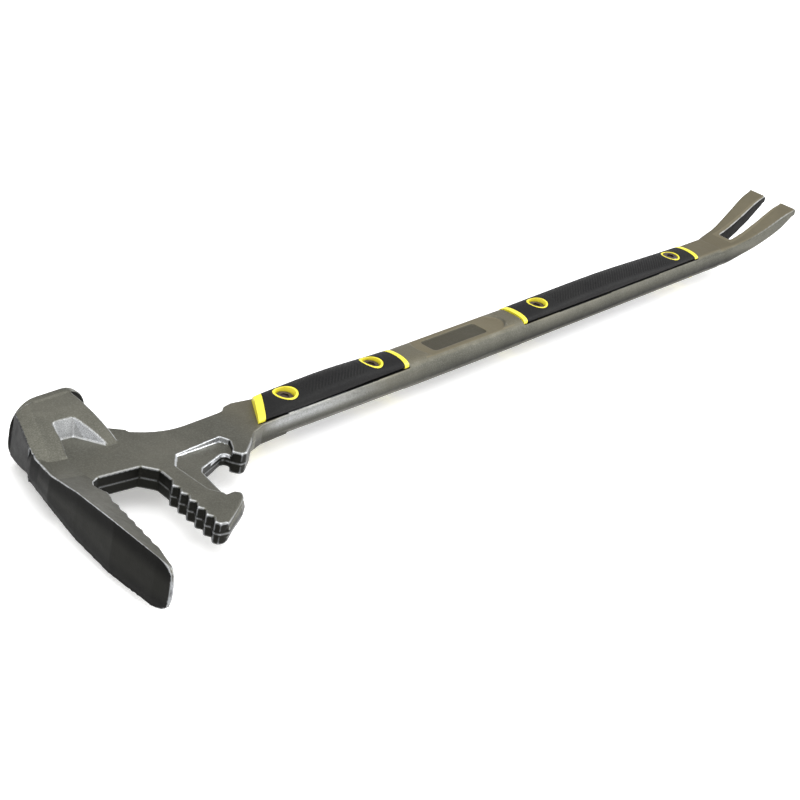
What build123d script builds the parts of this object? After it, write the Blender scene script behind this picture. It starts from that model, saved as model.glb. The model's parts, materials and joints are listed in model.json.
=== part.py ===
from build123d import *
from math import radians, tan
import os

# Forcible-entry demolition bar: one steel forging with two bolted grips.
# Everything is drawn about the shank's own axis: +X from the striking head to the forked claw,
# +Z up, the jaws opening towards -Y. Each finished piece is then moved so that the whole tool
# stands on z = 0 with its bounding box centred over the origin.

os.makedirs("parts", exist_ok=True)

# ---------------------------------------------------------------- driving dimensions, mm
# Shank
PLATE_H = 7.1            # half thickness of the head plate, and height of the grip seats
SHANK_START = -216.0     # where the shank leaves the head plate
SHANK_END = 296.0        # where the shank becomes the claw
SHANK_STATIONS = [       # x, half width, half height, corner radius of the rolled section
    (SHANK_START, 13.2, 9.6, 8.8),
    (-60.0, 14.6, 10.7, 9.7),
    (40.0, 14.6, 10.7, 9.7),
    (160.0, 13.9, 10.1, 9.2),
    (SHANK_END, 13.2, 9.6, 8.8),
]
MID_FLAT_H = 9.1         # height of the flat planed between the grips
CLAW_FLAT_H = 7.9        # height of the upper flat where the claw begins
EDGE = 0.7               # broken edge along the plate
CUT_H = 12.0             # height of the cutting shapes that clear a face

# Grips: full pads above the shank, low ones below it
BAND_L = 4.0
SLANT_BAND_L = 6.2       # length along the shank of the slanted band
PAD_GAP = 0.4            # shadow gap between the rubber and the steel
SEAT_GAP = 0.5           # shadow gap between a band and the end of its seat
HEAD_GRIP_SLANT = 38.0   # the head grip's outer end is cut across at this angle
HEAD_GRIP_START = -207.8 # where that cut crosses the shank's axis
HEAD_GRIP_END = -76.0
CLAW_GRIP_START = 46.0
CLAW_GRIP_END = 264.5
TOP_SLAB = (8.8, 1.1)    # carrier's slab: half width, thickness
LOW_SLAB = (8.2, 0.9)
HEAD_BOSS = 1.3          # raised floor of the head grip's wells, whose crown is the higher
HEAD_GRIP_TOP = [        # x, half width, height of the pad's edge, of its crown, fullness
    (-226.0, 11.0, 8.4, 10.0, 0.74),
    (-210.0, 11.0, 8.4, 10.8, 0.74),
    (-196.0, 11.2, 8.4, 13.3, 0.72),
    (-182.0, 11.4, 8.3, 14.1, 0.68),
    (-166.0, 11.4, 8.1, 15.1, 0.64),
    (-150.0, 11.2, 8.0, 15.9, 0.62),
    (-138.0, 11.1, 8.0, 16.0, 0.61),
    (-127.0, 11.0, 8.0, 15.7, 0.60),
    (-115.0, 10.9, 8.0, 15.1, 0.60),
    (-103.0, 10.9, 8.0, 14.2, 0.60),
    (-90.0, 10.9, 8.0, 13.2, 0.60),
    (-74.0, 10.9, 8.0, 12.1, 0.60),
]
CLAW_GRIP_TOP = [
    (44.0, 11.1, 8.1, 11.7, 0.60),
    (75.0, 11.1, 8.2, 12.7, 0.60),
    (102.0, 11.0, 8.2, 13.5, 0.60),
    (130.0, 11.0, 8.2, 14.1, 0.60),
    (155.0, 11.0, 8.2, 14.2, 0.60),
    (178.0, 10.9, 8.2, 13.7, 0.60),
    (206.0, 10.7, 8.1, 12.4, 0.60),
    (222.0, 10.6, 8.0, 11.7, 0.60),
    (240.0, 10.4, 7.9, 11.0, 0.58),
    (266.0, 10.1, 7.7, 10.4, 0.55),
]
HEAD_GRIP_LOW = [
    (-226.0, 9.4, 7.8, 10.3, 0.60),
    (-74.0, 9.4, 7.8, 10.3, 0.60),
]
CLAW_GRIP_LOW = [
    (44.0, 9.4, 7.8, 10.3, 0.60),
    (266.0, 9.4, 7.8, 10.3, 0.60),
]

# Fasteners
SCREW_X = {
    "head_grip_front": -182.4,
    "head_grip_rear": -102.2,
    "claw_grip_front": 74.0,
    "claw_grip_rear": 240.6,
}
BORE_R = 4.7
SLEEVE_R = 4.55
THREAD_R = 3.0
HEAD_R = 5.5
SCREW_HEAD_T = 1.6
NUT_HEAD_T = 2.0
WASHER_R = 5.8
WASHER_T = 0.6
HEX_AF = 5.0
HEX_DEPTH = 1.0
FIT = 0.1                # radial clearance of every sliding fit
WELL_R = 6.0             # inside the well, up to where it flares
WELL_BORE = 2.3          # height of its straight part
WELL_FLARE = 0.3         # growth of the radius above that, per mm of height
WELL_WALL = 1.1
RIM_SINK = 0.2           # how far the lining's rim lies under the rubber

# Claw
CLAW_TIP_X = 381.0
CLAW_TIP_HALF_W = 21.6
CLAW_STATIONS = [        # x, half width, top, underside, corner radius above and below
    (294.0, 13.2, 7.9, -9.5, 6.2, 8.7),
    (303.0, 13.5, 8.1, -8.2, 4.2, 7.3),
    (312.0, 13.9, 8.9, -6.5, 2.6, 5.8),
    (324.0, 14.9, 10.6, -3.2, 1.6, 4.6),
    (336.0, 16.6, 13.9, 0.9, 1.2, 3.4),
    (348.0, 18.2, 18.1, 5.6, 1.0, 2.6),
    (354.0, 18.9, 20.5, 8.2, 0.9, 2.2),
    (366.0, 20.2, 25.2, 14.3, 0.8, 1.6),
    (CLAW_TIP_X, CLAW_TIP_HALF_W, 30.4, 22.8, 0.7, 1.0),
]
TIP_R = 3.0              # corners of the two tips, in plan
TIP_CUT_L = 120.0        # length of the shape that rounds those corners, past the claw's start
CLAW_CUT_H = 60.0        # height of the shapes that cut the claw
TIP_BEVEL = (377.4, 29.4)        # where the bevel across each tip leaves the upper face
TIP_EDGE_Z = 26.4                # height of the tip's edge under that bevel
SLOT_ROOT_X = 316.4      # nail slot: square root, then widening to the tips
SLOT_ROOT_HALF_W = 5.0
SLOT_TIP_HALF_W = 7.2
SLOT_ROOT_R = 2.0
SLOT_OVERRUN = 10.0

# Head
FACE_X = -316.0          # centre of the striking face
FACE_Y = 66.5
FACE_W = 54.0
FACE_H = 41.0
FACE_T = 6.0
BLOCK_RIGHT_X = -303.0

# Board jaw teeth
TOOTH_COUNT = 5
RIGHT_TIP = (-310.8, -34.2)      # first tooth tip on the arm side
RIGHT_STEP = (-1.5, -8.2)        # from one tip to the next
RIGHT_ROOT = (2.4, -4.0)         # from a tip to the root after it
LEFT_TIP = (-348.4, -25.4)       # first tooth tip on the blade side
LEFT_STEP = (-2.3, -8.6)
LEFT_ROOT = (-3.2, -4.4)
LEFT_COUNT = 6


# ---------------------------------------------------------------- outlines
def tooth_line(tip, step, root, count):
    """Tips and roots of one row of teeth, from the jaw's back wall outwards."""
    points = []
    for i in range(count):
        x = tip[0] + i * step[0]
        y = tip[1] + i * step[1]
        points.append((x, y))
        points.append((x + root[0], y + root[1]))
    points.append((tip[0] + count * step[0], tip[1] + count * step[1]))
    return points


right_teeth = tooth_line(RIGHT_TIP, RIGHT_STEP, RIGHT_ROOT, TOOTH_COUNT)
left_teeth = tooth_line(LEFT_TIP, LEFT_STEP, LEFT_ROOT, LEFT_COUNT)

# The blade's outer face, from the striking face down to the cutting edge
blade_back = [
    (-343.0, 63.0),
    (-358.0, 30.0),
    (-365.0, 7.0),
    (-370.5, -21.0),
    (-376.5, -56.0),
    (-380.0, -92.0),
]
BLADE_TIP = (-380.6, -105.0)
BLADE_NOSE = (-379.4, -106.8)

# Everything between the blade's nose and the arm's end: teeth, relief and back wall of the board jaw
board_jaw = (
    left_teeth[::-1]
    + [(-346.5, -20.0), (-348.6, -15.8), (-349.2, -12.0), (-345.5, -7.6), (-340.0, -5.6)]
    + [(-311.3, -9.6), (-305.0, -18.5), (-306.6, -29.8)]
    + right_teeth
)
# The arm's end and the small wrench jaw, ending where the hook runs into the shank
arm_end = [
    (-316.8, -78.8),
    (-310.2, -80.4),
    (-290.6, -70.9),
    (-282.8, -65.2),
    (-281.9, -60.8),
    (-285.0, -57.5),
]
wrench_jaw = [
    (-291.0, -57.6),
    (-289.2, -50.0),
    (-285.0, -36.0),
    (-283.6, -31.4),
    (-279.4, -28.0),
    (-257.5, -21.2),
    (-255.0, -22.0),
    (-253.2, -27.0),
    (-250.6, -31.2),
    (-246.8, -31.2),
    (-236.0, -24.4),
    (-226.0, -16.6),
    (-214.0, -13.4),
]
# The far side of the plate, from the shank back to the block
far_side = [
    (-190.0, 12.6),
    (-203.0, 15.2),
    (-212.0, 16.9),
    (-219.0, 15.9),
    (-223.0, 12.8),
    (-228.0, 12.2),
]
SWEEP_START = (-256.0, 12.0)
SWEEP_MIDDLE = (-273.0, 14.8)
SWEEP_END = (-286.0, 21.5)
shoulder = [(-288.8, 23.6), (-289.2, 26.6), (-296.6, 33.4), (-303.0, 42.0), (-316.0, 62.0)]


# ---------------------------------------------------------------- forged bar
# Plan of the head plate
with BuildSketch() as plate_plan:
    with BuildLine():
        Polyline(*blade_back[1:], BLADE_TIP, BLADE_NOSE, *board_jaw, *arm_end, *wrench_jaw, (-190.0, -12.6))
        Line((-190.0, -12.6), far_side[0])
        Polyline(*far_side, SWEEP_START)
        ThreePointArc(SWEEP_START, SWEEP_MIDDLE, SWEEP_END)
        Polyline(SWEEP_END, *shoulder, (-335.0, 62.0), blade_back[1])
    make_face()

with BuildPart() as plate:
    add(plate_plan.sketch)
    extrude(amount=PLATE_H, both=True)
    chamfer(plate.edges().group_by(Axis.Z)[-1], EDGE)
    chamfer(plate.edges().group_by(Axis.Z)[0], EDGE)

# Blade: its flanks flare from the plate to a wide back, so that each section is a broad wedge
BLADE_STATIONS = [       # y, outer face x, half height there, x where the flank meets the plate
    (34.0, -356.6, 8.4, -338.0),
    (8.0, -365.0, 9.8, -343.0),
    (-21.0, -370.5, 14.4, -347.2),
    (-56.0, -376.5, 16.6, -356.6),
    (-90.0, -380.0, 16.0, -365.7),
    (-108.0, -380.6, 15.0, -371.0),
]
BLADE_END = [            # outline of the cutting edge across its height: y, height
    (-84.0, 17.5),
    (-91.9, 15.8),
    (-97.0, 14.7),
    (-100.6, 13.2),
    (-103.4, 10.4),
    (-105.6, 5.6),
    (-106.4, 0.0),
]
with BuildPart() as blade:
    for y, back_x, back_h, foot_x in BLADE_STATIONS:
        with BuildSketch(Plane(origin=(0, y, 0), x_dir=(1, 0, 0), z_dir=(0, -1, 0))):
            with BuildLine():
                Polyline(
                    (back_x, back_h),
                    (foot_x, PLATE_H),
                    (foot_x + 8.0, PLATE_H - 1.0),
                    (foot_x + 8.0, -PLATE_H + 1.0),
                    (foot_x, -PLATE_H),
                    (back_x, -back_h),
                    close=True,
                )
            make_face()
    loft(ruled=True)
    with BuildSketch(Plane.XY.offset(-FACE_H / 2)):
        add(plate_plan.sketch)
    extrude(amount=FACE_H, mode=Mode.INTERSECT)

# The cutting edge is rounded across the blade's full height
BLADE_END_X = (-390.0, -330.0)   # the rounding cuts through all of the blade between these
CLEAR_Y = -120.0
CLEAR_Z = 17.5
with BuildPart() as blade_end:
    with BuildSketch(Plane.YZ.offset(BLADE_END_X[0])):
        with BuildLine():
            Polyline(
                *BLADE_END,
                *[(y, -z) for y, z in BLADE_END[-2::-1]],
                (CLEAR_Y, -CLEAR_Z),
                (CLEAR_Y, CLEAR_Z),
                close=True,
            )
        make_face()
    extrude(amount=BLADE_END_X[1] - BLADE_END_X[0])

# Striking block: its top falls in a curve from the face to the plate, the same below
BLOCK_LEFT_X = -365.0
BLOCK_FOOT_Y = 17.0
FACET_ABOVE = (3.5, 8.0)         # drop and width of the facets along the block's left side
FACET_BELOW = (9.0, 13.0)
block_top = [(BLOCK_FOOT_Y, PLATE_H), (28.0, 12.2), (38.0, 15.6), (50.0, 18.4), (62.0, 20.0)]
with BuildPart() as block:
    with BuildSketch(Plane.YZ.offset(BLOCK_LEFT_X)):
        with BuildLine():
            Spline(*block_top)
            Spline(*[(y, -z) for y, z in block_top])
            Line(block_top[-1], (block_top[-1][0], -block_top[-1][1]))
            Line((BLOCK_FOOT_Y, PLATE_H), (BLOCK_FOOT_Y, -PLATE_H))
        make_face()
    extrude(amount=BLOCK_RIGHT_X - BLOCK_LEFT_X)
    # its left side follows the blade's back
    with BuildSketch(Plane.XY.offset(-FACE_H / 2)):
        with BuildLine():
            Polyline(
                (BLOCK_RIGHT_X, 16.0),
                (BLOCK_RIGHT_X, 62.0),
                blade_back[0],
                blade_back[1],
                (-361.0, 20.0),
                (-340.0, 19.0),
                (-315.0, 16.0),
                close=True,
            )
        make_face()
    extrude(amount=FACE_H, mode=Mode.INTERSECT)
    # a sloping facet along its left side, steeper below
    back_line = Vector(*blade_back[1], 0) - Vector(*blade_back[0], 0)
    leftwards = Axis((0, 0, 0), (back_line.Y, -back_line.X, 0))
    for group, (drop, width) in ((-1, FACET_ABOVE), (0, FACET_BELOW)):
        left_wall = block.faces().sort_by(leftwards)[-1]
        facet_edge = left_wall.edges().sort_by(Axis.Z)[group]
        chamfer(facet_edge, drop, width, reference=left_wall)

with BuildPart() as face:
    with BuildSketch(Plane.XZ.offset(-FACE_Y + FACE_T)):
        with Locations((FACE_X, 0)):
            RectangleRounded(FACE_W, FACE_H, 17.0)
    extrude(amount=-FACE_T)
    chamfer(face.faces().sort_by(Axis.Y)[-1].edges(), 1.4)
    fillet(face.faces().sort_by(Axis.Y)[0].edges(), 0.8)

# Shank: a rolled section, planed flat above and below where the grips sit
with BuildPart() as rolled:
    for x, half_w, half_h, corner in SHANK_STATIONS:
        with BuildSketch(Plane.YZ.offset(x)):
            RectangleRounded(2 * half_w, 2 * half_h, corner)
    loft()

MID_FLAT = (-46.0, 8.0)          # straight part
MID_FLAT_LEFT_R = 9.0
MID_FLAT_RIGHT_R = 24.0
FLAT_HALF_W = 12.5
RAMP = 48.0                      # slope of the flat's rounded ends, from the upright
with BuildPart() as planing:
    with BuildSketch(Plane.XY.offset(PLATE_H)):
        for start, end in (
            (SHANK_START, HEAD_GRIP_END + SEAT_GAP),
            (CLAW_GRIP_START - SEAT_GAP, CLAW_GRIP_END + SEAT_GAP),
        ):
            with Locations(((start + end) / 2, 0)):
                Rectangle(end - start, 4 * FLAT_HALF_W)
    extrude(amount=CUT_H)
    with BuildSketch(Plane.XY.offset(MID_FLAT_H)):
        with Locations(((MID_FLAT[0] + MID_FLAT[1]) / 2, 0)):
            Rectangle(MID_FLAT[1] - MID_FLAT[0], 2 * FLAT_HALF_W)
        with Locations((MID_FLAT[0], 0)):
            Ellipse(MID_FLAT_LEFT_R, FLAT_HALF_W)
        with Locations((MID_FLAT[1], 0)):
            Ellipse(MID_FLAT_RIGHT_R, FLAT_HALF_W)
    extrude(amount=MID_FLAT_H / 2, taper=-RAMP)
    mirror(about=Plane.XY)
    # above only, a flat runs from the claw grip to the claw
    with BuildSketch(Plane.XY.offset(CLAW_FLAT_H)):
        with Locations(((CLAW_GRIP_END + SHANK_END) / 2, 0)):
            Rectangle(SHANK_END - CLAW_GRIP_END, 4 * FLAT_HALF_W)
    extrude(amount=CUT_H)

with BuildPart() as shank:
    add(rolled.part)
    add(planing.part, mode=Mode.SUBTRACT)

# Claw: bent upwards, widening and thinning to two flat tips
with BuildPart() as claw:
    for x, half_w, top_z, low_z, top_r, low_r in CLAW_STATIONS:
        with BuildSketch(Plane.YZ.offset(x)):
            with BuildLine():
                Line((0, top_z), (half_w - top_r, top_z))
                RadiusArc((half_w - top_r, top_z), (half_w, top_z - top_r), top_r)
                Line((half_w, top_z - top_r), (half_w, low_z + low_r))
                RadiusArc((half_w, low_z + low_r), (half_w - low_r, low_z), low_r)
                Line((half_w - low_r, low_z), (0, low_z))
                mirror(about=Plane.YZ)
            make_face()
    loft()
    # tips: corners rounded in plan, and a bevel across the end
    with BuildSketch(Plane.XY.offset(-CUT_H)):
        with Locations((CLAW_TIP_X - TIP_CUT_L / 2, 0)):
            RectangleRounded(TIP_CUT_L, 2 * CLAW_TIP_HALF_W, TIP_R)
        with Locations((CLAW_TIP_X - TIP_CUT_L / 2 - 2 * TIP_R, 0)):
            Rectangle(TIP_CUT_L, 4 * CLAW_TIP_HALF_W)
    extrude(amount=CLAW_CUT_H, mode=Mode.INTERSECT)
    with BuildSketch(Plane.XZ):
        with BuildLine():
            Polyline(
                TIP_BEVEL,
                (CLAW_TIP_X, TIP_EDGE_Z),
                (CLAW_TIP_X, CLAW_CUT_H),
                (TIP_BEVEL[0], CLAW_CUT_H),
                close=True,
            )
        make_face()
    extrude(amount=2 * CLAW_TIP_HALF_W, both=True, mode=Mode.SUBTRACT)

with BuildPart() as slot:
    with BuildSketch(Plane.XY.offset(-CUT_H)) as slot_plan:
        with BuildLine():
            Polyline(
                (SLOT_ROOT_X, SLOT_ROOT_HALF_W),
                (CLAW_TIP_X, SLOT_TIP_HALF_W),
                (CLAW_TIP_X + SLOT_OVERRUN, SLOT_TIP_HALF_W),
                (CLAW_TIP_X + SLOT_OVERRUN, -SLOT_TIP_HALF_W),
                (CLAW_TIP_X, -SLOT_TIP_HALF_W),
                (SLOT_ROOT_X, -SLOT_ROOT_HALF_W),
                close=True,
            )
        make_face()
        fillet(slot_plan.vertices().group_by(Axis.X)[0], SLOT_ROOT_R)
    extrude(amount=CLAW_CUT_H)

# Recess round the wrench jaw: its floor falls gently towards the shank, the same below
RECESS_X = -296.0
RECESS_MIN = 0.8
RECESS_FALL = 0.056
recess_plane = Plane(
    origin=(RECESS_X, 0, PLATE_H - RECESS_MIN),
    x_dir=(1, 0, -RECESS_FALL),
    z_dir=(RECESS_FALL, 0, 1),
)
recess_plan = [
    (11.5, -10.9), (48.3, -9.4), (50.6, -15.6), (45.3, -23.2), (34.0, -32.0),
    (21.0, -45.0), (17.0, -56.0), (5.0, -56.0), (0.0, -48.0), (1.8, -20.1),
]
with BuildPart() as recess:
    with BuildSketch(recess_plane):
        with BuildLine():
            Polyline(*recess_plan, close=True)
        make_face()
    extrude(amount=CUT_H)
    mirror(about=Plane.XY)

# Open pocket in the block's slope, down to the plate, the same below
pocket_floor = [
    (-331.0, 37.0), (-321.3, 35.8), (-311.7, 18.6), (-311.7, 6.0), (-343.0, 6.0), (-340.0, 21.0),
]
pocket_mouth = [
    (-333.3, 44.0), (-316.2, 43.6), (-305.7, 21.9), (-305.7, 3.0), (-346.0, 3.0), (-341.6, 21.0),
]
POCKET_TOP_Z = 20.0
with BuildPart() as pocket:
    with BuildSketch(Plane.XY.offset(PLATE_H)):
        with BuildLine():
            Polyline(*pocket_floor, close=True)
        make_face()
    with BuildSketch(Plane.XY.offset(POCKET_TOP_Z)):
        with BuildLine():
            Polyline(*pocket_mouth, close=True)
        make_face()
    loft(ruled=True)
    mirror(about=Plane.XY)

PLAQUE_X = -17.0
PLAQUE_L = 56.0
PLAQUE_W = 14.0
PLAQUE_DEPTH = 0.8
with BuildPart() as plaque:
    with BuildSketch(Plane.XY.offset(MID_FLAT_H - PLAQUE_DEPTH)):
        with Locations((PLAQUE_X, 0)):
            RectangleRounded(PLAQUE_L, PLAQUE_W, 3.0)
    extrude(amount=CUT_H)
    mirror(about=Plane.XY)

with BuildPart() as forged_bar:
    add(plate.part)
    add(blade.part)
    add(block.part)
    add(face.part)
    add(shank.part)
    add(claw.part)
    add(slot.part, mode=Mode.SUBTRACT)
    add(blade_end.part, mode=Mode.SUBTRACT)
    add(recess.part, mode=Mode.SUBTRACT)
    add(pocket.part, mode=Mode.SUBTRACT)
    add(plaque.part, mode=Mode.SUBTRACT)
    with BuildSketch():
        with Locations(*[(x, 0) for x in SCREW_X.values()]):
            Circle(BORE_R)
    extrude(amount=CUT_H, both=True, mode=Mode.SUBTRACT)


# ---------------------------------------------------------------- grips
SIDE_CLEAR = 30.0        # half width of the cutting shapes, well outside the grips
WELL_TOP_Z = 24.0        # height of the cutting shapes, well above the crowns


def strip(start_x, end_x, half_w, slope):
    """Corners of a strip along the shank whose outer end leans by slope in x per mm of y."""
    return [
        (start_x - half_w * slope, -half_w),
        (end_x, -half_w),
        (end_x, half_w),
        (start_x + half_w * slope, half_w),
    ]


def upright(corners, low_z, high_z):
    """Upright block on the given corners."""
    with BuildPart() as solid:
        with BuildSketch(Plane.XY.offset(low_z)):
            with BuildLine():
                Polyline(*corners, close=True)
            make_face()
        extrude(amount=high_z - low_z)
    return solid.part


def well(x, floor_z, extra_r):
    """Well round a screw, straight at first and then flared, grown outwards by extra_r."""
    flare_z = floor_z + WELL_BORE
    depth = WELL_TOP_Z - flare_z
    radius = WELL_R + extra_r
    with BuildPart() as solid:
        with Locations((x, 0, floor_z + WELL_BORE / 2)):
            Cylinder(radius, WELL_BORE)
        with Locations((x, 0, flare_z + depth / 2)):
            Cone(radius, radius + WELL_FLARE * depth, depth)
    return solid.part


def make_grip(stations, start_x, end_x, slope, first_band_l, slab, boss, screws):
    """Moulded carrier and rubber pad of one grip, drawn above the shank."""
    slab_half_w, slab_t = slab
    floor_z = PLATE_H + slab_t
    middle = strip(start_x + first_band_l, end_x - BAND_L, SIDE_CLEAR, slope)
    with BuildPart() as envelope:
        for x, half_w, edge_z, crown_z, fullness in stations:
            shoulder_z = edge_z + fullness * (crown_z - edge_z)
            with BuildSketch(Plane.YZ.offset(x)):
                with BuildLine():
                    Line((0, PLATE_H), (half_w, PLATE_H))
                    Line((half_w, PLATE_H), (half_w, edge_z))
                    crown_y = half_w * fullness
                    Bezier((half_w, edge_z), (half_w, shoulder_z), (crown_y, crown_z), (0, crown_z))
                    mirror(about=Plane.YZ)
                make_face()
        loft(ruled=True)
        add(upright(strip(start_x, end_x, SIDE_CLEAR, slope), 0, WELL_TOP_Z), mode=Mode.INTERSECT)

    # carrier: slab, a band across each end, and a lined well round each screw
    with BuildPart() as linings:
        for x in screws:
            add(well(x, floor_z, WELL_WALL))
        add(Pos(0, 0, -RIM_SINK) * envelope.part, mode=Mode.INTERSECT)
    with BuildPart() as carrier:
        add(envelope.part)
        add(upright(middle, 0, WELL_TOP_Z), mode=Mode.SUBTRACT)
        add(upright(strip(start_x, end_x, slab_half_w, slope), PLATE_H, floor_z))
        add(linings.part)
        for x in screws:
            add(well(x, floor_z + boss, 0), mode=Mode.SUBTRACT)
            with Locations((x, 0, floor_z)):
                Cylinder(BORE_R, 4 * slab_t, mode=Mode.SUBTRACT)

    # pad: the rest of the envelope, with skirts that hang over the slab's edges
    with BuildPart() as pad:
        add(envelope.part)
        add(upright(middle, PLATE_H + PAD_GAP, WELL_TOP_Z), mode=Mode.INTERSECT)
        add(upright(strip(start_x, end_x, slab_half_w, slope), 0, floor_z), mode=Mode.SUBTRACT)
        for x in screws:
            add(well(x, floor_z, WELL_WALL), mode=Mode.SUBTRACT)
    return carrier.part, pad.part


head_slope = tan(radians(HEAD_GRIP_SLANT))
head_screws = (SCREW_X["head_grip_front"], SCREW_X["head_grip_rear"])
claw_screws = (SCREW_X["claw_grip_front"], SCREW_X["claw_grip_rear"])
head_span = (HEAD_GRIP_START, HEAD_GRIP_END, head_slope, SLANT_BAND_L)
claw_span = (CLAW_GRIP_START, CLAW_GRIP_END, 0, BAND_L)
head_top_carrier, head_top_pad = make_grip(HEAD_GRIP_TOP, *head_span, TOP_SLAB, HEAD_BOSS, head_screws)
head_low_carrier, head_low_pad = make_grip(HEAD_GRIP_LOW, *head_span, LOW_SLAB, 0, head_screws)
claw_top_carrier, claw_top_pad = make_grip(CLAW_GRIP_TOP, *claw_span, TOP_SLAB, 0, claw_screws)
claw_low_carrier, claw_low_pad = make_grip(CLAW_GRIP_LOW, *claw_span, LOW_SLAB, 0, claw_screws)

# ---------------------------------------------------------------- fasteners
# drawn once about the origin: the screw comes from above, its sleeve nut from below
WASHER_Z = PLATE_H + TOP_SLAB[1]
HEAD_Z = WASHER_Z + WASHER_T
NUT_HEAD_Z = -PLATE_H - LOW_SLAB[1]
SHANK_R = THREAD_R - FIT
SCREW_END_Z = -5.0
BARREL_END_Z = 6.5
THREAD_END_Z = -6.5
HEAD_EDGE = 0.5

with BuildPart() as screw:
    with BuildSketch(Plane.XY.offset(HEAD_Z)):
        Circle(HEAD_R)
    extrude(amount=SCREW_HEAD_T)
    chamfer(screw.edges().group_by(Axis.Z)[-1], HEAD_EDGE)
    with BuildSketch(Plane.XY.offset(HEAD_Z + SCREW_HEAD_T)):
        RegularPolygon(HEX_AF / 2, 6, major_radius=False)
    extrude(amount=-HEX_DEPTH, mode=Mode.SUBTRACT)
    with BuildSketch(Plane.XY.offset(SCREW_END_Z)):
        Circle(SHANK_R)
    extrude(amount=HEAD_Z - SCREW_END_Z)

with BuildPart() as sleeve_nut:
    with BuildSketch(Plane.XY.offset(NUT_HEAD_Z)):
        Circle(HEAD_R)
    extrude(amount=-NUT_HEAD_T)
    chamfer(sleeve_nut.edges().group_by(Axis.Z)[0], HEAD_EDGE)
    with BuildSketch(Plane.XY.offset(NUT_HEAD_Z - NUT_HEAD_T)):
        RegularPolygon(HEX_AF / 2, 6, major_radius=False)
    extrude(amount=HEX_DEPTH, mode=Mode.SUBTRACT)
    with BuildSketch(Plane.XY.offset(NUT_HEAD_Z)):
        Circle(SLEEVE_R)
    extrude(amount=BARREL_END_Z - NUT_HEAD_Z)
    with BuildSketch(Plane.XY.offset(THREAD_END_Z)):
        Circle(THREAD_R)
    extrude(amount=BARREL_END_Z - THREAD_END_Z, mode=Mode.SUBTRACT)

with BuildPart() as washer:
    with BuildSketch(Plane.XY.offset(WASHER_Z)):
        Circle(WASHER_R)
        Circle(THREAD_R, mode=Mode.SUBTRACT)
    extrude(amount=WASHER_T)

# ---------------------------------------------------------------- the whole tool, standing
pieces = {
    "forged_bar": forged_bar.part,
    "head_grip_top_carrier": head_top_carrier,
    "head_grip_top_pad": head_top_pad,
    "head_grip_bottom_carrier": mirror(head_low_carrier, about=Plane.XY),
    "head_grip_bottom_pad": mirror(head_low_pad, about=Plane.XY),
    "claw_grip_top_carrier": claw_top_carrier,
    "claw_grip_top_pad": claw_top_pad,
    "claw_grip_bottom_carrier": mirror(claw_low_carrier, about=Plane.XY),
    "claw_grip_bottom_pad": mirror(claw_low_pad, about=Plane.XY),
}
for position, x in SCREW_X.items():
    boss = HEAD_BOSS if position.startswith("head") else 0
    pieces[position + "_screw"] = Pos(x, 0, boss) * screw.part
    pieces[position + "_sleeve_nut"] = Pos(x, 0, 0) * sleeve_nut.part
    pieces[position + "_washer"] = Pos(x, 0, boss) * washer.part

whole = Compound(children=[Part() + piece for piece in pieces.values()]).bounding_box()
middle_x = (whole.min.X + whole.max.X) / 2
middle_y = (whole.min.Y + whole.max.Y) / 2
standing = Pos(-middle_x, -middle_y, -whole.min.Z)
for name, piece in pieces.items():
    placed = standing * piece
    placed.label = name
    export_step(placed, "parts/" + name + ".step")
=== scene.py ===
import json
import math

import bmesh
import bpy
import numpy as np
from mathutils import Matrix, Vector


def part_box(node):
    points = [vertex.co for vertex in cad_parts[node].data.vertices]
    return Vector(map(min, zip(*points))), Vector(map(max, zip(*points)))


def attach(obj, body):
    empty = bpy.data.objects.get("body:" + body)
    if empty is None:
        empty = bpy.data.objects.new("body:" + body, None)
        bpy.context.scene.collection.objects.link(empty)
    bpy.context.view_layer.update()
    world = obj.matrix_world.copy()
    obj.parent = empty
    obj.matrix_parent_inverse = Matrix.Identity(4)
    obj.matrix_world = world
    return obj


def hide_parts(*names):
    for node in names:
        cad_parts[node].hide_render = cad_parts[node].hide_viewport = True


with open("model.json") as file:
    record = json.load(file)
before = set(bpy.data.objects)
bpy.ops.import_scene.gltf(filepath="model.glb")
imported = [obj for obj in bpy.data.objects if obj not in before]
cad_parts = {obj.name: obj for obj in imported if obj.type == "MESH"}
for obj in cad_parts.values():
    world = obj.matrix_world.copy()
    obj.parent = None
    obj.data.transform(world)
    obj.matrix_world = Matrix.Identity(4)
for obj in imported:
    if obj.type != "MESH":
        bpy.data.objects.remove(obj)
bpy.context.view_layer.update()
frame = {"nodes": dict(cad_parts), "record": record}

nodes = frame["nodes"]
MM = 0.001

# ---------------------------------------------------------------- where things are, in metres
# The shank's axis runs along +X, midway between its two planed flats.
flats = {m["name"]: m["pos_m"] for m in frame["record"]["mounts"]}
AXIS_Y = flats["shank_flat_top"][1]
AXIS_Z = (flats["shank_flat_top"][2] + flats["shank_flat_bottom"][2]) / 2
FIRST_SCREW_X = -182.4           # mm from the middle of the shank's axis
screw_low, screw_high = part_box("head_grip_front_screw")
AXIS_X = (screw_low.x + screw_high.x) / 2 - FIRST_SCREW_X * MM


def station(x, y=0.0, z=0.0):
    """Point given in millimetres from the middle of the shank's axis."""
    return Vector((AXIS_X + x * MM, AXIS_Y + y * MM, AXIS_Z + z * MM))


# ---------------------------------------------------------------- camera
CAMERA_AT = (-1130.8, -755.0, 636.4)     # mm from the middle of the shank's axis
CAMERA_RIGHT = Vector((0.6384, -0.7497, 0.1745))
CAMERA_UP = Vector((0.2487, 0.4154, 0.8750))
CAMERA_LENS = 101.46
SENSOR_WIDTH = 36.0

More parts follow.
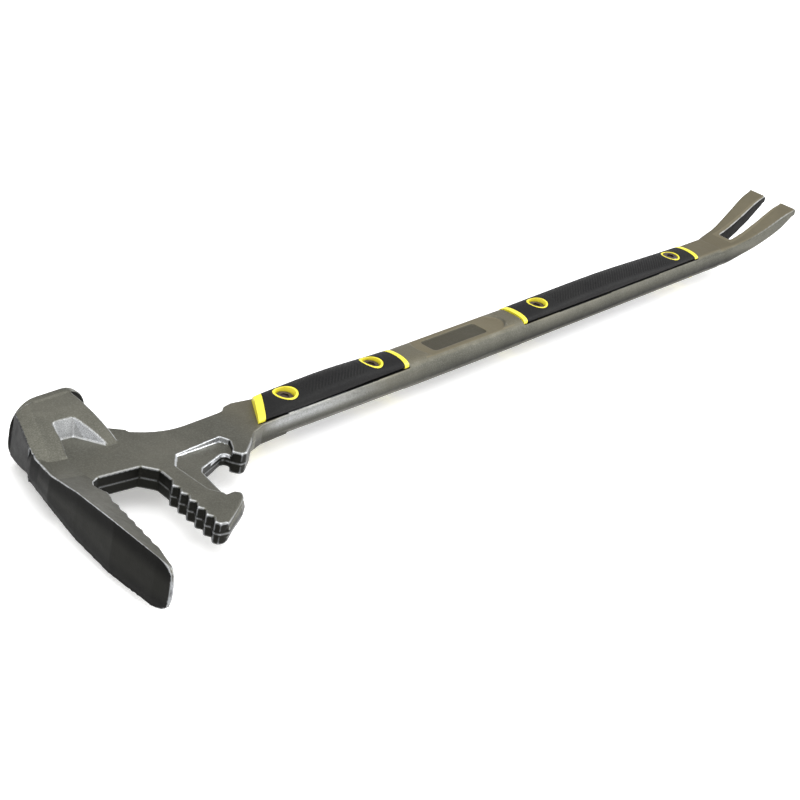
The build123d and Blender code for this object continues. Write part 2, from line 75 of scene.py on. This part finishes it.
right = CAMERA_RIGHT.normalized()
back = right.cross(CAMERA_UP).normalized()
up = back.cross(right)
camera_data = bpy.data.cameras.new("camera")
camera_data.lens = CAMERA_LENS
camera_data.sensor_width = SENSOR_WIDTH
camera = bpy.data.objects.new("camera", camera_data)
bpy.context.scene.collection.objects.link(camera)
turned = Matrix((right, up, back)).transposed().to_4x4()
camera.matrix_world = Matrix.Translation(station(*CAMERA_AT)) @ turned
bpy.context.scene.camera = camera


# ---------------------------------------------------------------- material helpers
class Graph:
    """Short names for building a node material."""

    def __init__(self, name):
        self.material = bpy.data.materials.new(name)
        self.material.use_nodes = True
        self.tree = self.material.node_tree
        self.shader = self.tree.nodes["Principled BSDF"]
        self.coords = self.tree.nodes.new("ShaderNodeTexCoord").outputs["Object"]

    def node(self, kind, **inputs):
        made = self.tree.nodes.new(kind)
        for key, value in inputs.items():
            self.feed(made.inputs[key.replace("_", " ")], value)
        return made

    def feed(self, socket, value):
        if isinstance(value, bpy.types.NodeSocket):
            self.tree.links.new(value, socket)
        else:
            socket.default_value = value

    def noise(self, scale, detail=4.0, rough=0.5):
        made = self.node("ShaderNodeTexNoise", Vector=self.coords)
        made.inputs["Scale"].default_value = scale
        made.inputs["Detail"].default_value = detail
        made.inputs["Roughness"].default_value = rough
        return made.outputs["Fac"]

    def ramp(self, value, low, high, start=0.0, end=1.0):
        made = self.tree.nodes.new("ShaderNodeMapRange")
        made.inputs["From Min"].default_value = low
        made.inputs["From Max"].default_value = high
        made.inputs["To Min"].default_value = start
        made.inputs["To Max"].default_value = end
        self.feed(made.inputs["Value"], value)
        return made.outputs["Result"]

    def math(self, operation, a, b):
        made = self.tree.nodes.new("ShaderNodeMath")
        made.operation = operation
        self.feed(made.inputs[0], a)
        self.feed(made.inputs[1], b)
        return made.outputs["Value"]

    def mix(self, factor, a, b):
        made = self.tree.nodes.new("ShaderNodeMix")
        made.data_type = "RGBA"
        self.feed(made.inputs["Factor"], factor)
        for socket, value in ((made.inputs[6], a), (made.inputs[7], b)):
            self.feed(socket, value if isinstance(value, bpy.types.NodeSocket) else (*value, 1.0))
        return made.outputs[2]

    def attribute(self, name):
        made = self.tree.nodes.new("ShaderNodeAttribute")
        made.attribute_name = name
        return made.outputs["Fac"]

    def bump(self, height, distance, strength=1.0, normal=None):
        made = self.node("ShaderNodeBump", Height=height)
        made.inputs["Strength"].default_value = strength
        made.inputs["Distance"].default_value = distance
        if normal is not None:
            self.feed(made.inputs["Normal"], normal)
        return made.outputs["Normal"]

    def set(self, **inputs):
        for key, value in inputs.items():
            self.feed(self.shader.inputs[key.replace("_", " ")], value)


# ---------------------------------------------------------------- materials
def forged_material():
    """Grey-olive coat over a forging, with bare steel, painted highlights and painted shade where the
    masks say.
    """
    g = Graph("forged_steel")
    grain = g.noise(1100.0, 6.0, 0.62)
    fleck = g.noise(2600.0, 2.0, 0.5)
    cloud = g.noise(26.0, 5.0, 0.55)
    hammer = g.noise(150.0, 3.0, 0.5)
    coat = g.mix(g.ramp(cloud, 0.36, 0.66), (0.098, 0.097, 0.080), (0.132, 0.129, 0.106))
    coat = g.mix(g.ramp(grain, 0.45, 0.68, 0.0, 0.5), coat, (0.20, 0.197, 0.172))
    coat = g.mix(g.attribute("warm"), coat, (0.180, 0.158, 0.106))
    # dark forging scale and painted shade, near black
    coat = g.mix(g.attribute("scale"), coat, (0.014, 0.014, 0.012))
    # painted shade and painted shadow, near black
    coat = g.mix(g.attribute("painted_shade"), coat, (0.004, 0.004, 0.004))
    scratch = g.noise(420.0, 6.0, 0.7)
    # bare worn steel, and painted highlights where the weight was set by facing
    bare = g.math("MULTIPLY", g.attribute("edge"), g.ramp(scratch, 0.28, 0.5, 0.45, 1.0))
    blast = g.math("MULTIPLY", g.attribute("ground"), g.ramp(fleck, 0.3, 0.5, 0.5, 1.0))
    bare = g.math("MAXIMUM", bare, blast)
    steel = g.mix(g.ramp(fleck, 0.36, 0.66), (0.50, 0.52, 0.54), (0.92, 0.94, 0.97))
    metal = g.ramp(bare, 0.0, 1.0, 0.62, 0.85)
    # less metallic under the painted shade
    unshaded = g.ramp(g.attribute("painted_shade"), 0.0, 1.0, 1.0, 0.2)
    rough = g.ramp(hammer, 0.3, 0.7, 0.33, 0.43)
    satin = g.ramp(g.attribute("satin"), 0.0, 1.0, 0.0, 0.18)
    g.set(
        Base_Color=g.mix(bare, coat, steel),
        Metallic=g.math("MULTIPLY", metal, unshaded),
        Roughness=g.math("ADD", rough, satin),
        Specular_IOR_Level=0.03,
    )
    fine = g.bump(grain, 0.00010, 0.45)
    g.set(Normal=g.bump(hammer, 0.00030, 0.30, fine))
    return g.material


def nylon_material():
    """Moulded yellow, slightly uneven, with a fine satin grain."""
    g = Graph("yellow_nylon")
    fine = g.noise(1400.0, 3.0)
    cloud = g.noise(60.0, 3.0)
    g.set(
        Base_Color=g.mix(g.ramp(cloud, 0.3, 0.7), (0.86, 0.74, 0.035), (0.92, 0.82, 0.06)),
        Roughness=g.ramp(fine, 0.3, 0.7, 0.36, 0.5),
        Normal=g.bump(fine, 0.00006, 0.4),
    )
    return g.material


def rubber_material():
    """Matt black with a little dust."""
    g = Graph("black_rubber")
    fine = g.noise(1100.0, 5.0, 0.65)
    cloud = g.noise(45.0, 4.0)
    dust = g.math("MULTIPLY", g.ramp(cloud, 0.35, 0.75), 0.5)
    g.set(
        Base_Color=g.mix(dust, (0.006, 0.006, 0.0065), (0.013, 0.013, 0.0125)),
        Roughness=g.ramp(fine, 0.3, 0.7, 0.5, 0.72),
        Specular_IOR_Level=0.16,
        Normal=g.bump(fine, 0.00012, 0.45),
    )
    return g.material


def fastener_material(name, dark, light):
    """Turned steel, stained between a dark and a light tone."""
    g = Graph(name)
    turned = g.noise(1500.0, 4.0)
    stain = g.noise(260.0, 5.0, 0.6)
    g.set(
        Base_Color=g.mix(g.ramp(stain, 0.3, 0.7), dark, light),
        Metallic=0.85,
        Roughness=g.ramp(turned, 0.3, 0.7, 0.34, 0.52),
        Normal=g.bump(turned, 0.00005, 0.5),
    )
    return g.material


def floor_material():
    """Almost white, and faintly lit from within, so that shadows stay pale."""
    g = Graph("studio_floor")
    soft = g.noise(3.0, 2.0)
    g.set(Base_Color=g.mix(soft, (0.93, 0.93, 0.93), (0.95, 0.95, 0.95)), Roughness=0.9)
    g.set(Emission_Color=(1.0, 1.0, 1.0, 1.0), Emission_Strength=0.35)
    return g.material


MATERIALS = {
    "forged_steel": forged_material(),
    "yellow_nylon": nylon_material(),
    "black_rubber": rubber_material(),
    "fastener_steel": fastener_material("fastener_steel", (0.075, 0.058, 0.052), (0.15, 0.12, 0.11)),
    "washer_steel": fastener_material("washer_steel", (0.07, 0.06, 0.05), (0.14, 0.125, 0.11)),
}
node_slot = {s["node"]: s["material_slot"] for s in frame["record"]["subparts"]}
for name, node in nodes.items():
    node.data.materials.clear()
    node.data.materials.append(MATERIALS[node_slot[name]])


# ---------------------------------------------------------------- pieces grown from the CAD solids
def skin(name, node_name, voxel, rounds):
    """New object with the node's shape, remeshed at voxel millimetres and with its edges eased."""
    mesh = nodes[node_name].data.copy()
    piece = bpy.data.objects.new(name, mesh)
    bpy.context.scene.collection.objects.link(piece)
    remesh = piece.modifiers.new("even", "REMESH")
    remesh.mode = "VOXEL"
    remesh.voxel_size = voxel * MM
    ease = piece.modifiers.new("ease", "SMOOTH")
    ease.factor = 0.5
    ease.iterations = rounds
    final = piece.evaluated_get(bpy.context.evaluated_depsgraph_get())
    made = bpy.data.meshes.new_from_object(final)
    piece.modifiers.clear()
    piece.data = made
    made.name = name
    made.materials.clear()
    made.materials.append(MATERIALS[node_slot[node_name]])
    made.shade_smooth()
    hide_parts(node_name)
    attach(piece, "root")
    return piece


def points_and_normals(mesh):
    """Vertex places in millimetres from the middle of the shank, and their normals."""
    count = len(mesh.vertices)
    points = np.empty(count * 3)
    normals = np.empty(count * 3)
    mesh.vertices.foreach_get("co", points)
    mesh.vertex_normals.foreach_get("vector", normals)
    points = points.reshape(-1, 3)
    return (points - np.array(station(0.0))) / MM, normals.reshape(-1, 3)


def paint(mesh, name, values):
    """Keeps a weight from 0 to 1 at each vertex, for the material to read."""
    layer = mesh.attributes.new(name, "FLOAT", "POINT")
    layer.data.foreach_set("value", np.clip(values, 0.0, 1.0).astype(np.float32))


class Ring:
    """Means over each vertex's neighbours."""

    def __init__(self, mesh):
        ends = np.empty(len(mesh.edges) * 2, dtype=np.int64)
        mesh.edges.foreach_get("vertices", ends)
        self.a, self.b = ends.reshape(-1, 2).T
        self.size = len(mesh.vertices)
        self.count = np.bincount(self.a, minlength=self.size) + np.bincount(self.b, minlength=self.size)

    def mean(self, values):
        onto_a = np.bincount(self.a, values[self.b], self.size)
        return (onto_a + np.bincount(self.b, values[self.a], self.size)) / self.count

    def relax(self, points, weight, rounds):
        """Draws the weighted vertices towards the mean of their neighbours."""
        for _ in range(rounds):
            mean = np.stack([self.mean(points[:, axis]) for axis in range(3)], axis=1)
            points = points + 0.5 * weight[:, None] * (mean - points)
        return points

    def convexity(self, points, normals):
        """How far each vertex stands out from the mean of its neighbours along its normal."""
        mean = np.stack([self.mean(points[:, axis]) for axis in range(3)], axis=1)
        out = ((points - mean) * normals).sum(1)
        for _ in range(2):
            out = 0.5 * out + 0.5 * self.mean(out)
        return out


def store(mesh, points):
    """Puts vertex places, in millimetres from the middle of the shank, back into the mesh."""
    mesh.vertices.foreach_set("co", (points * MM + np.array(station(0.0))).ravel())
    mesh.update()


def rise(value, low, high):
    """0 below the low limit, 1 above the high one, and straight between them."""
    return np.clip((value - low) / (high - low), 0.0, 1.0)


def fall(value, low, high):
    """1 below the low limit, 0 above the high one, and straight between them."""
    return 1.0 - rise(value, low, high)


ANY = (-math.inf, math.inf)


def within(points, limits_x=ANY, limits_y=ANY, limits_z=ANY):
    """Which vertices lie between the limits, in millimetres from the middle of the shank's axis."""
    inside = np.ones(len(points), dtype=bool)
    for values, (low, high) in zip(points.T, (limits_x, limits_y, limits_z)):
        inside &= (values > low) & (values < high)
    return inside


# ---------------------------------------------------------------- forged bar: shape
# Places are in millimetres from the middle of the shank's axis. Regions are limits along x, y and z.
VOXEL = 0.5                      # the spacing of the bar's mesh
PLATE_H = 7.1                    # half the thickness of the head's plate

ARM_END = ((-322.0, math.inf), (-math.inf, -55.0))
ARM_END_FROM = np.array((-309.7, -81.8))
ARM_END_TO = np.array((-282.8, -66.5))
ARM_END_REACH = 36.0             # the rounded stretch of the arm's end, from its first corner
ARM_FADE = 3.0                   # over which the rounding fades out at both ends of the stretch
ARM_NOSE = 5.5                   # how far in from the arm's end the rounding goes

HEAD_WALLS = ((-352.0, -222.0), (-math.inf, 10.0))
PARTING_HEIGHT = 0.32
PARTING_WIDTH = 0.55

BLADE_BACK = ((-math.inf, -352.0), (-math.inf, 34.0))
BLADE_CROWN = 1.3
# The blade at distances from the shank's axis towards its tip: half the width of its back, and the
# place of its back along x.
WIDTH_AT = (-34.0, -8.0, 21.0, 56.0, 90.0, 108.0)
HALF_WIDTH = (8.4, 9.8, 14.4, 16.6, 16.0, 15.0)
BACK_AT = (-63.0, -30.0, -7.0, 21.0, 56.0, 92.0)
BACK_X = (-343.0, -358.0, -365.0, -370.5, -376.5, -380.0)
BACK_DEPTH = 5.0                 # how much of the blade's thickness belongs to its back
BACK_TOP = 30.0
EASE_ROUNDS = 24
EASED_FULLY = 2.5                # within this distance of a long edge
EASED_UP_TO = 4.5                # and less and less as far as this


def round_arm_end(points):
    """Makes the arm's end a full round across the plate's thickness."""
    along = ARM_END_TO - ARM_END_FROM
    along = along / np.linalg.norm(along)
    inward = np.array((-along[1], along[0]))
    offset = (points[:, :2] - ARM_END_FROM) @ inward
    reach = (points[:, :2] - ARM_END_FROM) @ along
    beside = (offset < ARM_NOSE) & (reach > -ARM_FADE) & (reach < ARM_END_REACH)
    near = within(points, *ARM_END) & beside
    u = fall(offset, 0.0, ARM_NOSE)
    w = rise(np.abs(points[:, 2]), 0.0, PLATE_H)
    fade = rise(reach, -ARM_FADE, 0.0) * fall(reach, ARM_END_REACH - ARM_FADE, ARM_END_REACH)
    to_circle = np.maximum(u, w) / np.maximum(np.hypot(u, w), 1e-6) - 1.0
    squeeze = np.where(near, 1.0 + to_circle * fade, 1.0)
    push = np.where(near, (ARM_NOSE - offset) * (1.0 - squeeze), 0.0)
    points[:, :2] += push[:, None] * inward
    points[:, 2] *= squeeze


def raise_parting_line(points, normals):
    """Runs a fine parting line round the head's upright walls at half height."""
    wall = within(points, *HEAD_WALLS) & (np.abs(normals[:, 2]) < 0.4)
    ridge = PARTING_HEIGHT * np.exp(-((points[:, 2] / PARTING_WIDTH) ** 2)) * wall
    points += normals * ridge[:, None]


def crown_blade(points, normals):
    """Crowns the blade's back slightly from edge to edge."""
    on_back = within(points, *BLADE_BACK) & (normals[:, 0] < -0.75)
    half = np.interp(-points[:, 1], WIDTH_AT, HALF_WIDTH)
    bow = np.clip(np.abs(points[:, 2]) / half, 0.0, 1.0) ** 3
    points[:, 0] += np.where(on_back, BLADE_CROWN * bow, 0.0)


def near_back(points):
    """Which vertices are on the blade's back or its long edges."""
    back_x = np.interp(-points[:, 1], BACK_AT, BACK_X)
    return (points[:, 0] < back_x + BACK_DEPTH) & (points[:, 1] < BACK_TOP)


def from_long_edge(points):
    """How far each vertex is in from the blade's nearer long edge, measured up or down."""
    return np.interp(-points[:, 1], WIDTH_AT, HALF_WIDTH) - np.abs(points[:, 2])


bar = skin("forged_bar_skin", "forged_bar", VOXEL, 5)
points, normals = points_and_normals(bar.data)
round_arm_end(points)
raise_parting_line(points, normals)
crown_blade(points, normals)

# the blade's long edges are eased further than the rest
ring = Ring(bar.data)
blade = near_back(points)
softness = np.where(blade, fall(from_long_edge(points), EASED_FULLY, EASED_UP_TO), 0.0)
store(bar.data, ring.relax(points, softness, EASE_ROUNDS))

# ---------------------------------------------------------------- forged bar: wear, scale, painted highlights and painted shade
JAWS = ((-math.inf, -232.0), (-math.inf, 3.0))
BLADE_TIP_Y = -84.0
CLAW = ((300.0, math.inf),)
STRIKER_Y = 56.0
POCKET = ((-348.0, -303.0), (3.0, 47.0), (6.0, math.inf))
POCKET_RIM_X = -336.0
POCKET_WALL_X = -335.0
POCKET_MIDDLE_X = -318.0
RECESS = ((-299.0, -243.0), (-25.0, 4.0), (2.0, math.inf))
NECK_SIDE = ((-216.0, -100.0),)
HEAD = ((-math.inf, -226.0),)
SHANK = ((-222.0, math.inf),)
CLAW_TOP = ((260.0, math.inf),)
SLOT = ((312.0, math.inf), (-9.0, 9.0))
CLAW_BEVEL = ((372.0, math.inf),)
BLADE_TOP = ((-math.inf, -345.0), (-math.inf, 0.0))
PLAQUE = ((-45.2, 11.2), (-7.2, 7.2), (-8.9, 8.9))
MIDDLE_FLAT = ((-58.0, 36.0), ANY, (8.8, 9.4))
CLAW_ROOT_X = 262.0
SEATS = (ANY, (-12.0, 12.0))
HEAD_GRIP_X = (-207.6, -75.6)
HEAD_GRIP_SLANT = 0.78
CLAW_GRIP_X = (45.6, 264.6)
BLOCK_LEFT = ((-math.inf, -340.0), (20.0, math.inf))


def worn_edges_and_painted_highlights(points, normals, bulge, blade):
    """Bare steel along the edges, most of all round the jaws, the blade and the pockets, and painted
    highlights on the jaws' upward edges, on the recess walls and in a streak along the neck's side.
    """
    x, y, z = points.T
    ny, nz = normals[:, 1], normals[:, 2]
    crest = rise(bulge, 0.05, 0.14)
    rim = rise(np.abs(bulge), 0.03, 0.10)

    jaw_side = x > -353.0 - 0.20 * np.maximum(-y - 20.0, 0.0)
    jaws = within(points, *JAWS) & ~blade & jaw_side
    # painted highlight: edges that face up and away from +y are brighter
    upper = np.where((nz > 0.25) & (ny < 0.2), 0.85, 0.3)
    wear = np.where(jaws, rise(bulge, 0.03, 0.09) * upper, 0.30 * crest)

    blade_wear = rise(bulge, 0.02, 0.05) * np.where(y < BLADE_TIP_Y, 0.45, 0.8)
    wear = np.where(blade, blade_wear, wear)

    # painted highlight on the recess walls that face -y
    recess_wall = within(points, *RECESS) & (nz < 0.93) & (ny < -0.25)
    wear = np.where(recess_wall, 0.9, wear)

    # painted highlight: a bright streak along the neck's near side
    painted_streak = np.exp(-(((z - 4.0) / 3.0) ** 2)) * rise(x, -215.0, -200.0) * fall(x, -160.0, -100.0)
    neck_side = within(points, *NECK_SIDE) & (ny < -0.3)
    wear = np.where(neck_side, np.maximum(wear, 0.35 * painted_streak), wear)

    claw = within(points, *CLAW) & ((ny < 0.15) | (normals[:, 0] > 0.5))
    wear = np.where(claw, 0.8 * crest, wear)
    wear = np.where(y > STRIKER_Y, 0.6 * crest, wear)
    pocket = within(points, *POCKET) & (x > POCKET_RIM_X)
    return np.where(pocket, np.maximum(wear, rim), wear)


def ground_steel(points, normals):
    """Blasted bare steel on the sloping walls of the block's pocket."""
    x = points[:, 0]
    nx, ny, nz = normals.T
    wall = within(points, *POCKET) & (x > POCKET_WALL_X) & (nz < 0.72) & ((ny < -0.3) | (nx < -0.3))
    return np.where(wall, np.where(x < POCKET_MIDDLE_X, 0.5, 0.75), 0.0)


def scale_and_painted_shade(points, normals, upright):
    """Dark forging scale and painted shade on the head's upright walls, on the shank's upright sides
    towards the bottom and in the slot; painted shade on the claw's top, its bevel and the blade's top;
    a darker plaque.
    """
    x, _, z = points.T
    nx, _, nz = normals.T
    # painted shade: the head's upright walls darker, and the shank's upright sides darker towards the
    # bottom, more so towards the claw
    low_side = upright * fall(z, -3.0, 5.0)
    scale = np.where(within(points, *HEAD), upright, 0.0)
    towards_claw = np.interp(x, (-60.0, 60.0), (0.7, 1.0))
    scale = np.where(within(points, *SHANK), low_side * towards_claw, scale)
    # painted shade on the claw's top, the claw's bevel and the blade's top
    scale = np.where(within(points, *CLAW_TOP) & (nz > 0.5), 0.22, scale)
    scale = np.where(within(points, *SLOT), upright, scale)
    scale = np.where(within(points, *CLAW_BEVEL) & (nx > 0.35), 0.6, scale)
    scale = np.where(within(points, *BLADE_TOP) & (nz > 0.6), 0.3, scale)
    return np.where(within(points, *PLAQUE) & (np.abs(nz) > 0.6), 0.5, scale)


def warm_tone(points, normals):
    """Warmer coat on what faces up: strong on the middle flat and the claw, slight on the shank."""
    x = points[:, 0]
    strong = within(points, *MIDDLE_FLAT) | (x > CLAW_ROOT_X)
    warm = np.where(strong, 0.85, 0.4 * rise(x, -235.0, -210.0))
    return warm * rise(normals[:, 2], 0.6, 0.9)


def dark_places(points, normals, upright, blade):
    """Painted shade and painted shadow: black on the seats under the grips, the blade's back darker
    with a painted dark band below its long edges, and painted shade in the slot and on the block's left
    wall.
    """
    x, y, z = points.T
    nx, _, nz = normals.T
    head_grip = (x > HEAD_GRIP_X[0] + HEAD_GRIP_SLANT * y) & (x < HEAD_GRIP_X[1])
    claw_grip = (x > CLAW_GRIP_X[0]) & (x < CLAW_GRIP_X[1])
    seat = within(points, *SEATS) & (np.abs(np.abs(z) - PLATE_H) < 0.3) & (np.abs(nz) > 0.7)
    # painted shadow: the seats under the grips painted black, as a deep shadow gap would look
    painted_shade = np.where(seat & (head_grip | claw_grip), 1.0, 0.0)

    edge_distance = from_long_edge(points)
    band = fall(edge_distance, 6.0, 12.0) * rise(edge_distance, 0.8, 1.8)
    # painted shade: the blade's back darker, darkest in a band below its long edges
    painted_shade = np.where(blade & (nx < -0.7), 0.12 + 0.62 * band, painted_shade)
    # painted shade in the slot and on the block's left wall
    painted_shade = np.where(within(points, *SLOT), 0.5 * upright, painted_shade)
    return np.where(within(points, *BLOCK_LEFT) & (nx < -0.6), 0.95, painted_shade)


points, normals = points_and_normals(bar.data)
bulge = ring.convexity(points, normals) / VOXEL
upright = fall(np.abs(normals[:, 2]), 0.20, 0.55)
# bare worn steel and painted highlights
paint(bar.data, "edge", worn_edges_and_painted_highlights(points, normals, bulge, blade))
paint(bar.data, "satin", rise(points[:, 0], -120.0, -60.0))
paint(bar.data, "ground", ground_steel(points, normals))
# dark forging scale and painted shade
paint(bar.data, "scale", scale_and_painted_shade(points, normals, upright))
paint(bar.data, "warm", warm_tone(points, normals))
# painted shade and painted shadow
paint(bar.data, "painted_shade", dark_places(points, normals, upright, blade))

# ---------------------------------------------------------------- rubber pads
PAD_VOXEL = 0.45
RIB_PITCH = 3.0
RIB_LEAN = -1.17
RIB_DEPTH = 0.30
RIB_FADE = 3.0
BORDER = 8.2                     # the ribs stop short of the pad's sides
BORDER_FADE = 0.8
WELL_CLEAR = 12.5                # and of its wells
PAD_SCREWS = {
    "head_grip_top_pad": ("head_grip_front_screw", "head_grip_rear_screw"),
    "claw_grip_top_pad": ("claw_grip_front_screw", "claw_grip_rear_screw"),
}


def screw_x(node_name):
    """Where the screw is along the shank, in millimetres from its middle."""
    low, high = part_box(node_name)
    return ((low.x + high.x) / 2 - AXIS_X) / MM


for pad_name, screws in PAD_SCREWS.items():
    pad = skin(pad_name + "_skin", pad_name, PAD_VOXEL, 4)
    points, normals = points_and_normals(pad.data)
    x, y, _ = points.T
    first = screw_x(screws[0]) + WELL_CLEAR
    last = screw_x(screws[1]) - WELL_CLEAR
    ribbed = rise(x, first, first + RIB_FADE) * fall(x, last - RIB_FADE, last)
    ribbed *= fall(np.abs(y), BORDER - BORDER_FADE, BORDER) * (normals[:, 2] > 0.35)
    wave = np.sin(2 * math.pi * (x + RIB_LEAN * y) / RIB_PITCH)
    groove = np.clip(0.5 + 1.1 * wave, 0.0, 1.0)
    store(pad.data, points - normals * (RIB_DEPTH * groove * ribbed)[:, None])

# ---------------------------------------------------------------- studio, in metres
FLOOR_HALF = 14.0
KEY_AT = Vector((1.75, -1.05, 1.2))
KEY_TOWARDS = Vector((-0.1, 0.0, 0.0))
KEY_SIZE = (0.9, 0.7)
KEY_WATTS = 27.0
# the sky's brightness from the horizon (0) to straight up (1)
SKY = ((0.0, 0.80), (0.12, 0.62), (0.30, 0.16), (0.58, 0.16), (0.80, 1.0))
SKY_STRENGTH = 2.2

floor_mesh = bpy.data.meshes.new("studio_floor")
floor_form = bmesh.new()
bmesh.ops.create_grid(floor_form, x_segments=2, y_segments=2, size=FLOOR_HALF)
floor_form.to_mesh(floor_mesh)
floor_form.free()
floor = bpy.data.objects.new("studio_floor", floor_mesh)
floor_mesh.materials.append(floor_material())
bpy.context.scene.collection.objects.link(floor)

key_data = bpy.data.lights.new("key", "AREA")
key_data.shape = "RECTANGLE"
key_data.size, key_data.size_y = KEY_SIZE
key_data.energy = KEY_WATTS
key = bpy.data.objects.new("key", key_data)
key.location = KEY_AT
key.rotation_mode = "QUATERNION"
key.rotation_quaternion = (KEY_TOWARDS - KEY_AT).to_track_quat("-Z", "Y")
bpy.context.scene.collection.objects.link(key)

world = bpy.data.worlds.new("studio")
world.use_nodes = True
sky = world.node_tree
height = sky.nodes.new("ShaderNodeSeparateXYZ")
sky.links.new(sky.nodes.new("ShaderNodeTexCoord").outputs["Generated"], height.inputs["Vector"])
shade = sky.nodes.new("ShaderNodeValToRGB")
sky.links.new(height.outputs["Z"], shade.inputs["Fac"])
while len(shade.color_ramp.elements) < len(SKY):
    shade.color_ramp.elements.new(0.5)
for element, (position, level) in zip(shade.color_ramp.elements, SKY):
    element.position = position
    element.color = (level, level, level, 1.0)
sky.links.new(shade.outputs["Color"], sky.nodes["Background"].inputs["Color"])
sky.nodes["Background"].inputs["Strength"].default_value = SKY_STRENGTH
bpy.context.scene.world = world
bpy.context.scene.view_settings.view_transform = "Standard"
